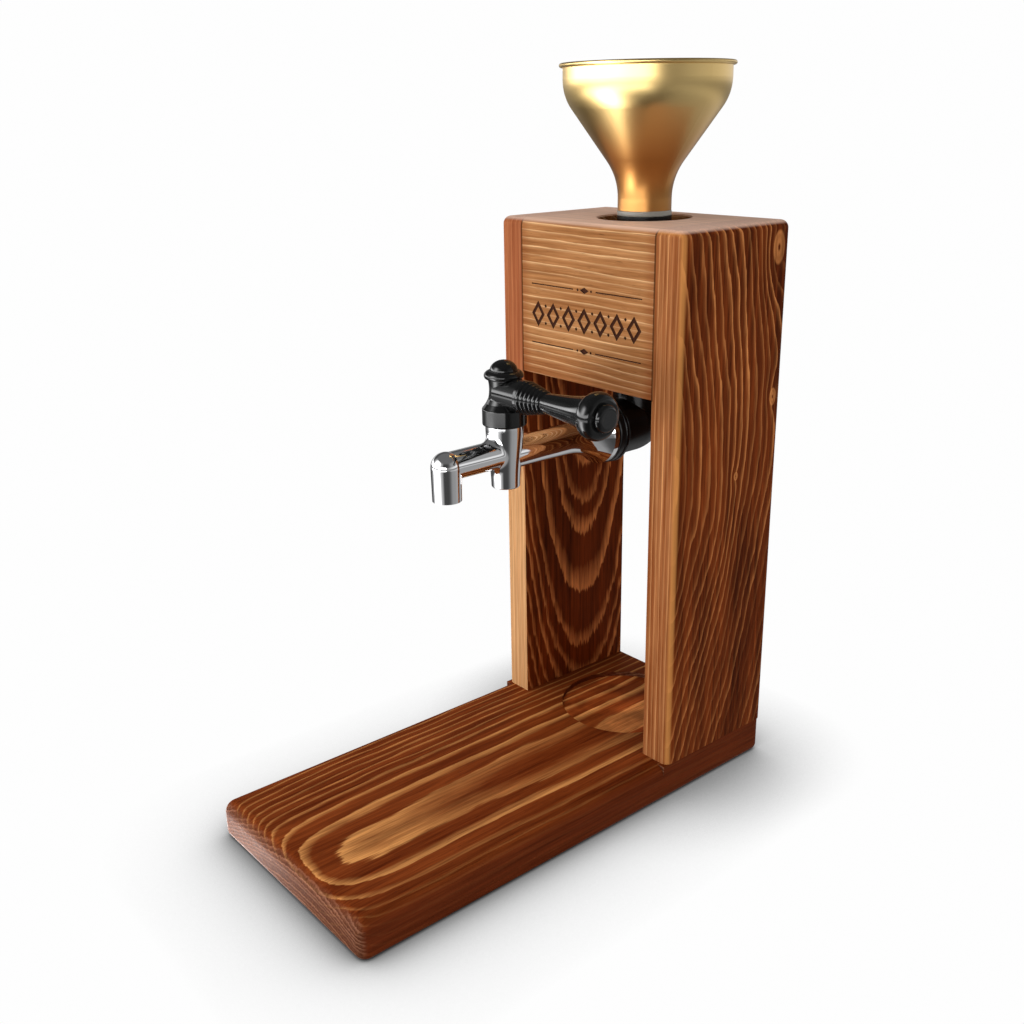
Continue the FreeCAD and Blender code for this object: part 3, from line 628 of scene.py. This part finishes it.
def left_edge(graph, colour, layers):
    """The narrow front edge is paler, and paler still low down."""
    lines = upright_lines(graph, LEFT_FRONT_LINES)
    low = (-(graph.z - LOW_DOWN_LEVEL) + layers["strand"] * LOW_DOWN_WANDER).step(-LOW_DOWN_FADE, LOW_DOWN_FADE)
    stained = streaked(graph, layers, lines, LEFT_STREAKS)
    low_tone = streaked(graph, layers, lines, LOW_DOWN_STREAKS)
    pale = graph.shaded(graph.mix(low, stained, low_tone), layered(layers, LEFT_FRONT_LAYERS, 1.0))
    colour = graph.mix((-graph.facing_y).step(*LEFT_FRONT) * FRONT_SHARE, colour, pale)
    return painted_top_light(graph, seamed(graph, colour), layers, SIDE_TOP_LIGHT)


# Head block: darker towards its sides and foot, and the engraving, charred below the skin of its front
DEEP_COLOUR = (0.24, 0.062, 0.017)
DEEP_LAYERS = {"strand": 0.3, "fibre": 0.3}
DEEP_SHARE = 0.45
DEEP_SIDE = (43.0, 52.5)
DEEP_FOOT = (-2.0, 26.0)
CHAR_COLOUR = (0.046, 0.016, 0.009)
CHAR_SKIN = (0.06, 0.12)
CHAR_DEPTH = (0.6, 0.8)
CHAR_HALF_WIDTH = (49.0, 50.0)
CHAR_BELOW_TOP = (12.0, 13.0)
CHAR_ABOVE_FOOT = (6.0, 7.0)


def head_edge(graph, colour, layers):
    """Darker towards the sides and the foot, paler on top with painted light from above, and charred in the
    engraving.
    """
    side = graph.x.size().step(*DEEP_SIDE)
    rise = graph.z - HEAD_BOTTOM
    foot = rise.fall(*DEEP_FOOT)
    deep = graph.shaded(DEEP_COLOUR, layered(layers, DEEP_LAYERS, 1.0))
    colour = graph.mix((side * DEEP_SHARE + foot * DEEP_SHARE).clamped(), colour, deep)
    colour = painted_top_light(graph, seamed(graph, colour), layers, HEAD_TOP_LIGHT)
    depth = graph.y - BOARD_FRONT
    carved = depth.step(*CHAR_SKIN) * depth.fall(*CHAR_DEPTH)
    upright = (-(graph.z - BOARD_TOP)).step(*CHAR_BELOW_TOP) * rise.step(*CHAR_ABOVE_FOOT)
    return graph.mix(carved * upright * graph.x.size().fall(*CHAR_HALF_WIDTH), colour, CHAR_COLOUR)


# Base board: darker at its right and on its sides, patches in the recess, and end grain in flat arcs in front
RIM_PART = (52.0, 70.0)
RIM_SHARE = 0.5
RIM_SHADE = 0.45
RECESS_DEPTH = (1.5, 2.5)
RECESS_LIMITS = (0.8, 0.95)
PATCH_WAVE = Wave((0.05, 0.035, 0.0), shift=3.1, detail=3.0)
PATCH_EDGE = (-0.25, 0.35)
PATCH_GAIN = 1.3
PATCH_LEVEL = 1.1
BASE_SIDE_LIMITS = (0.4, 0.9)
BASE_SIDE_SHARE = 0.8
BASE_SIDE_COLOUR = (0.115, 0.021, 0.006)
BASE_SIDE_LAYERS = {"strand": 0.5, "fibre": 0.5}
END_LIMITS = (0.3, 0.9)
END_SHARE = 0.85
END_ARC = 0.0028
END_WANDER = 1.4
END_LINES = Lines(pitch=2.3, width=0.2, rise=0.3, shift=1.9, least=0.1)
END_STREAKS = Streaks({"lines": 0.8, "fibre": 0.4}, 0.15, (0.050, 0.013, 0.005), (0.28, 0.122, 0.070))


def base_edge(graph, colour, layers):
    """Darker at the right and on the sides, patches in the recess, and end grain in front."""
    colour = graph.mix(graph.x.step(*RIM_PART) * RIM_SHARE, colour, graph.shaded(colour, RIM_SHADE))
    sunk = (-(graph.z - BASE_TOP)).step(*RECESS_DEPTH) * graph.facing_z.step(*RECESS_LIMITS)
    patch = graph.noise(PATCH_WAVE).step(*PATCH_EDGE) * PATCH_GAIN + PATCH_LEVEL
    colour = graph.mix(sunk, colour, graph.shaded(colour, patch))
    sides = graph.facing_x.size().step(*BASE_SIDE_LIMITS)
    stained = graph.shaded(BASE_SIDE_COLOUR, layered(layers, BASE_SIDE_LAYERS, 1.0))
    colour = graph.mix(sides * BASE_SIDE_SHARE, colour, stained)
    arcs = (graph.x - BASE_PITH_X).squared() * END_ARC + graph.z + layers["strand"] * END_WANDER
    end = streaked(graph, layers, even_lines(graph, arcs, END_LINES), END_STREAKS)
    return graph.mix((-graph.facing_y).step(*END_LIMITS) * END_SHARE, colour, end)


dress(wood("right_wood", right_rings, right_edge, Z_AXIS, RIGHT_STAIN), "right_side_board")
dress(wood("left_wood", left_rings, left_edge, Z_AXIS, LEFT_STAIN), "left_side_board")
dress(wood("head_wood", head_rings, head_edge, X_AXIS, HEAD_STAIN), "head_block")
dress(wood("base_wood", base_rings, base_edge, Y_AXIS, BASE_STAIN), "base_board")


# Metals, plastics and rubber. A tint says how their waves share out the low and the high colour.
HALF = 0.5
CHROME_LOW = (0.78, 0.78, 0.79)
CHROME_HIGH = (0.88, 0.88, 0.89)
CHROME_HAZE = Wave(even(0.5))
CHROME_SMEAR = Wave(even(0.06), shift=3.0)
CHROME_ROUGH_LAYERS = {"haze": 0.012, "smear": 0.015}
CHROME_ROUGHNESS = 0.045
CHROME_RELIEF = 0.05
CHROME_BUMP = 0.5


def chrome():
    graph = Graph("tap_chrome")
    layers = {"haze": graph.noise(CHROME_HAZE), "smear": graph.noise(CHROME_SMEAR)}
    smear = layers["smear"]
    return graph.set(
        Base_Color=graph.mix((smear * HALF + HALF).clamped(), CHROME_LOW, CHROME_HIGH),
        Metallic=1.0,
        Roughness=layered(layers, CHROME_ROUGH_LAYERS, CHROME_ROUGHNESS).clamped(),
        Normal=graph.bump(smear * CHROME_RELIEF, CHROME_BUMP),
    )


BRASS_TURNED = Wave((0.01, 0.01, 0.5))
BRASS_CLOUD = Wave(even(0.03), shift=2.0)
BRASS_TINT = 0.6
BRASS_ROUGH_LAYERS = {"turned": 0.01, "cloud": 0.02}
BRASS_RELIEF = 0.05
BRASS_BUMP = 0.3
FUNNEL_LOW = (0.80, 0.55, 0.21)
FUNNEL_HIGH = (0.87, 0.64, 0.28)
FUNNEL_ROUGHNESS = 0.34
# Painted reflection of the brown wood on the funnel's narrow lower part, and the heights where it fades out
FUNNEL_WOOD_REFLECTION = (0.52, 0.25, 0.075)
FUNNEL_REFLECTION_FADE = (FUNNEL_FOOT + 42.0, FUNNEL_FOOT + 84.0)
INSERT_LOW = (0.66, 0.44, 0.17)
INSERT_HIGH = (0.76, 0.55, 0.26)
INSERT_ROUGHNESS = 0.35


def brass(name, low, high, roughness, deep=None):
    """Polished brass. deep is the colour of a painted reflection of the brown wood on the funnel's narrow
    lower part.
    """
    graph = Graph(name)
    layers = {"turned": graph.noise(BRASS_TURNED), "cloud": graph.noise(BRASS_CLOUD)}
    cloud = layers["cloud"]
    colour = graph.mix((cloud * BRASS_TINT + HALF).clamped(), low, high)
    if deep:
        # Painted reflection of the wood on the narrow lower part
        colour = graph.mix(graph.z.fall(*FUNNEL_REFLECTION_FADE), colour, deep)
    return graph.set(
        Base_Color=colour,
        Metallic=1.0,
        Roughness=layered(layers, BRASS_ROUGH_LAYERS, roughness).clamped(),
        Normal=graph.bump(cloud * BRASS_RELIEF, BRASS_BUMP),
    )


BLACK_PEEL = Wave(even(0.35))
BLACK_DUST = Wave(even(3.0), shift=6.0)
BLACK_TINT = 0.5
BLACK_TINT_LEVEL = 0.4
BLACK_DUSTY = 1.8
BLACK_ROUGH_LAYERS = {"dust": 0.03, "peel": 0.02}
BLACK_RELIEF = 0.004
BLACK_BUMP = 0.4
BLACK_SHEEN = 0.26
COAT_ROUGHNESS = 0.05

# Tone, roughness and coat of each black material
HANDLE_BLACK = (0.004, 0.12, 0.15)
ELBOW_BLACK = (0.006, 0.20, 0.0)
WASHER_BLACK = (0.008, 0.30, 0.0)


def glossy_black(name, tone, roughness, coat):
    graph = Graph(name)
    layers = {"dust": graph.noise(BLACK_DUST), "peel": graph.noise(BLACK_PEEL)}
    share = (layers["dust"] * BLACK_TINT + BLACK_TINT_LEVEL).clamped()
    return graph.set(
        Base_Color=graph.mix(share, (tone,) * 3, (tone * BLACK_DUSTY,) * 3),
        Roughness=layered(layers, BLACK_ROUGH_LAYERS, roughness).clamped(),
        Normal=graph.bump(layers["peel"] * BLACK_RELIEF, BLACK_BUMP),
        Specular_IOR_Level=BLACK_SHEEN,
        Coat_Weight=coat,
        Coat_Roughness=COAT_ROUGHNESS,
    )


# Hidden pieces: low and high colour and roughness, and how metallic or clear they are
Plain = namedtuple("Plain", "low high roughness metallic transmission", defaults=(0.0, 0.0))
SILICONE = Plain((0.50, 0.48, 0.42), (0.62, 0.60, 0.54), 0.35, transmission=0.5)
STEEL = Plain((0.50, 0.50, 0.51), (0.62, 0.62, 0.63), 0.32, metallic=1.0)
BEECH = Plain((0.46, 0.30, 0.17), (0.60, 0.42, 0.26), 0.6)
ACETAL = Plain((0.68, 0.67, 0.63), (0.76, 0.75, 0.71), 0.4)
PLAIN_GRAIN = Wave(even(0.8), detail=3.0)
PLAIN_ROUGHNESS = 0.06
PLAIN_RELIEF = 0.02
PLAIN_BUMP = 0.4


def plain(name, look):
    graph = Graph(name)
    grain = graph.noise(PLAIN_GRAIN)
    return graph.set(
        Base_Color=graph.mix((grain * HALF + HALF).clamped(), look.low, look.high),
        Metallic=look.metallic,
        Roughness=(grain * PLAIN_ROUGHNESS + look.roughness).clamped(),
        Transmission_Weight=look.transmission,
        Normal=graph.bump(grain * PLAIN_RELIEF, PLAIN_BUMP),
    )


dress(chrome(), "tap_body")
dress(brass("funnel_brass", FUNNEL_LOW, FUNNEL_HIGH, FUNNEL_ROUGHNESS, FUNNEL_WOOD_REFLECTION), "funnel")
dress(brass("insert_brass", INSERT_LOW, INSERT_HIGH, INSERT_ROUGHNESS), "elbow_insert", "gland_nut")
dress(glossy_black("handle_black", *HANDLE_BLACK), "tap_lever", "lever_knob", "handle_cap")
dress(glossy_black("elbow_black", *ELBOW_BLACK), "outlet_elbow", "reservoir_bottle")
dress(glossy_black("washer_black", *WASHER_BLACK), "tap_washer", "plug_o_rings")
dress(plain("silicone", SILICONE), "neck_seal")
dress(plain("screw_steel", STEEL), "base_screws", "handle_screw")
dress(plain("dowel_beech", BEECH), "head_dowels")
dress(plain("acetal", ACETAL), "valve_plug", "thrust_washer")


# Studio
FLOOR_REACH = 4.0
FLOOR_TONE = 0.80
FLOOR_ROUGHNESS = 0.8
FLOOR_WHITE = 0.99
SHADOW_REACH = 0.07
SHADOW_DEPTH = 2.1
SHADOW_SAMPLES = 16
WORLD_LEVEL = 0.42
WHITE = (1.0, 1.0, 1.0, 1.0)
HALF_TURN = 180.0
FULL_TURN = 360.0

# How bright the room is to reflections, from 0 to 1 of the softbox, at bearings round the camera's own
SOFTBOX = 10.0
NEAR_ROOM = [
    (-180.0, 0.008),
    (-128.0, 0.008),
    (-117.0, 0.028),
    (-104.0, 0.07),
    (-97.0, 0.14),
    (-84.0, 0.7),
    (-75.0, 1.0),
    (-66.0, 1.0),
    (-55.0, 0.4),
    (-44.0, 0.12),
    (-36.0, 0.06),
    (-27.0, 0.04),
    (-16.0, 0.006),
    (14.0, 0.006),
    (26.0, 0.010),
    (45.0, 0.03),
    (100.0, 0.04),
    (128.0, 0.046),
    (146.0, 0.022),
    (180.0, 0.008),
]
OPEN_ROOM = [
    (-180.0, 0.02),
    (-125.0, 0.024),
    (-112.0, 0.12),
    (-98.0, 0.45),
    (0.0, 0.45),
    (6.0, 0.016),
    (24.0, 0.016),
    (36.0, 0.05),
    (140.0, 0.07),
    (160.0, 0.04),
    (180.0, 0.02),
]
HORIZON_ROOM = [
    (-180.0, 0.03),
    (-163.0, 0.05),
    (-148.0, 0.08),
    (-134.0, 0.2),
    (-118.0, 0.8),
    (0.0, 0.8),
    (6.0, 0.03),
    (24.0, 0.03),
    (36.0, 0.055),
    (60.0, 0.08),
    (120.0, 0.11),
    (152.0, 0.10),
    (180.0, 0.03),
]

# Distances from the middle of the floor, in metres, between which one room gives way to the next
NEAR_END = (0.74, 0.90)
FLOOR_FADE = (1.2, 1.7)
FAR_LEVEL = 0.25

# Heights of a ray's direction between which the room changes above and below the horizon
HORIZON_FADE = (0.12, 0.26)
HIGH_FADE = (0.5, 0.75)
HIGH_LEVEL = 0.15
LOW_FADE = (0.0, 0.03)
LOW_LEVEL = 0.25


def bearing(graph, x, y):
    """Degrees round from the camera's bearing, so that positive is to the camera's right."""
    camera_bearing = math.radians(CAMERA_YAW)
    right = x * math.cos(camera_bearing) + y * math.sin(camera_bearing)
    near = x * math.sin(camera_bearing) - y * math.cos(camera_bearing)
    return right.arctan2(near) * math.degrees(1.0)


def room_level(graph, angle, stops):
    """The room's brightness at a bearing, from stops in degrees."""
    places = [((place + HALF_TURN) / FULL_TURN, height) for place, height in stops]
    return graph.ramp((angle + HALF_TURN) / FULL_TURN, places) * SOFTBOX


def between(share, first, second):
    """A value from the first, where the share is 0, to the second, where it is 1."""
    return first * share.flipped() + share * second


def ray_kinds(graph):
    """Camera rays, and reflected rays that have met no matt surface on their way."""
    path = graph.add("ShaderNodeLightPath")
    clear = Value(graph, path.outputs["Diffuse Depth"]).clamped().flipped()
    return Value(graph, path.outputs["Is Camera Ray"]), Value(graph, path.outputs["Is Glossy Ray"]) * clear


def glowing(graph, level):
    """A plain emission, whose strength is a value."""
    shader = graph.add("ShaderNodeEmission")
    graph.feed(shader.inputs["Strength"], level)
    return shader.outputs[0]


def either(graph, share, first, second):
    """One of two shaders."""
    node = graph.add("ShaderNodeMixShader")
    for socket, source in zip(node.inputs, (share, first, second)):
        graph.feed(socket, source)
    return node.outputs[0]


def floor_material():
    """White with a painted soft contact shadow; reflections see the room's light and dark sides painted into
    its glow.
    """
    graph = Graph("floor")
    graph.set(Base_Color=(FLOOR_TONE,) * 3, Roughness=FLOOR_ROUGHNESS, Specular_IOR_Level=0.0)
    seen, glossy = ray_kinds(graph)
    open_air = graph.add("ShaderNodeAmbientOcclusion", samples=SHADOW_SAMPLES)
    open_air.inputs["Distance"].default_value = SHADOW_REACH
    # Painted contact shadow: the floor's glow darkens with ambient occlusion near the object
    shadow = Value(graph, open_air.outputs["AO"]).power(SHADOW_DEPTH) * FLOOR_WHITE
    x, y = graph.x / MM_PER_METRE, graph.y / MM_PER_METRE
    angle = bearing(graph, x, y)
    away = (x.squared() + y.squared()).root()
    near = away.fall(*NEAR_END)
    # Painted reflections: to reflected rays the floor glows with the room's bright and dark bearings
    mirrored = between(near, room_level(graph, angle, OPEN_ROOM), room_level(graph, angle, NEAR_ROOM))
    mirrored = between(away.step(*FLOOR_FADE), mirrored, FAR_LEVEL)
    surface = either(graph, glossy, graph.shader.outputs[0], glowing(graph, mirrored))
    surface = either(graph, seen, surface, glowing(graph, shadow))
    graph.feed(graph.tree.nodes["Material Output"].inputs["Surface"], surface)
    return graph.material


def make_floor():
    corners = [(-1, -1), (1, -1), (1, 1), (-1, 1)]
    mesh = bpy.data.meshes.new("floor")
    mesh.from_pydata([(x * FLOOR_REACH, y * FLOOR_REACH, 0.0) for x, y in corners], [], [(0, 1, 2, 3)])
    mesh.materials.append(floor_material())
    floor = bpy.data.objects.new("floor", mesh)
    bpy.context.scene.collection.objects.link(floor)


def make_world():
    """An even pale room: plain white to the camera, with a light and a dark side in reflections."""
    world = bpy.data.worlds.new("studio")
    world.use_nodes = True
    graph = Graph.over(world.node_tree)
    place = graph.add("ShaderNodeTexCoord")
    x, y, z = graph.split(place.outputs["Generated"])
    seen, glossy = ray_kinds(graph)
    angle = bearing(graph, x, y)
    high = z.step(*HORIZON_FADE)
    mirrored = between(high, room_level(graph, angle, HORIZON_ROOM), room_level(graph, angle, NEAR_ROOM))
    mirrored = between(z.step(*HIGH_FADE), mirrored, HIGH_LEVEL)
    mirrored = between((-z).step(*LOW_FADE), mirrored, LOW_LEVEL)
    lit = glossy * mirrored + glossy.flipped() * WORLD_LEVEL
    background = world.node_tree.nodes["Background"]
    background.inputs["Color"].default_value = WHITE
    graph.feed(background.inputs["Strength"], seen * FLOOR_WHITE + seen.flipped() * lit)
    bpy.context.scene.world = world


# Lamps, in metres and watts
Lamp = namedtuple("Lamp", "name place target size power")
LAMPS = [
    Lamp("key", (-0.30, -0.78, 0.22), target=(0.0, -0.02, 0.2), size=(0.75, 0.42), power=5.0),
    Lamp("top", (-0.5, -0.5, 1.7), target=(0.0, 0.0, 0.1), size=(1.2, 1.2), power=8.0),
    Lamp("fill", (1.1, 0.1, 0.75), target=(0.05, 0.1, 0.28), size=(0.5, 0.5), power=4.0),
]


def make_lamp(lamp):
    """A rectangular lamp that points at its target and isn't seen in reflections."""
    light = bpy.data.lights.new(lamp.name, "AREA")
    light.shape = "RECTANGLE"
    light.size, light.size_y = lamp.size
    light.energy = lamp.power
    holder = bpy.data.objects.new(lamp.name, light)
    holder.location = lamp.place
    aim = Vector(lamp.target) - Vector(lamp.place)
    holder.rotation_euler = aim.to_track_quat("-Z", "Y").to_euler()
    holder.visible_glossy = False
    bpy.context.scene.collection.objects.link(holder)


def make_camera():
    yaw = math.radians(CAMERA_YAW)
    pitch = math.radians(CAMERA_PITCH)
    roll = math.radians(CAMERA_ROLL)
    forward = Vector((-math.sin(yaw) * math.cos(pitch), math.cos(yaw) * math.cos(pitch), math.sin(pitch)))
    level = Vector((math.cos(yaw), math.sin(yaw), 0.0))
    rise = level.cross(forward)
    right = level * math.cos(roll) + rise * math.sin(roll)
    top = rise * math.cos(roll) - level * math.sin(roll)
    data = bpy.data.cameras.new("camera")
    data.lens = CAMERA_LENS
    data.sensor_width = SENSOR_WIDTH
    camera = bpy.data.objects.new("camera", data)
    turn = Matrix((right, top, -forward)).transposed()
    camera.matrix_world = Matrix.Translation(CAMERA_PLACE) @ turn.to_4x4()
    bpy.context.scene.collection.objects.link(camera)
    bpy.context.scene.camera = camera


make_floor()
make_world()
for lamp in LAMPS:
    make_lamp(lamp)
make_camera()
bpy.context.scene.view_settings.view_transform = "Standard"
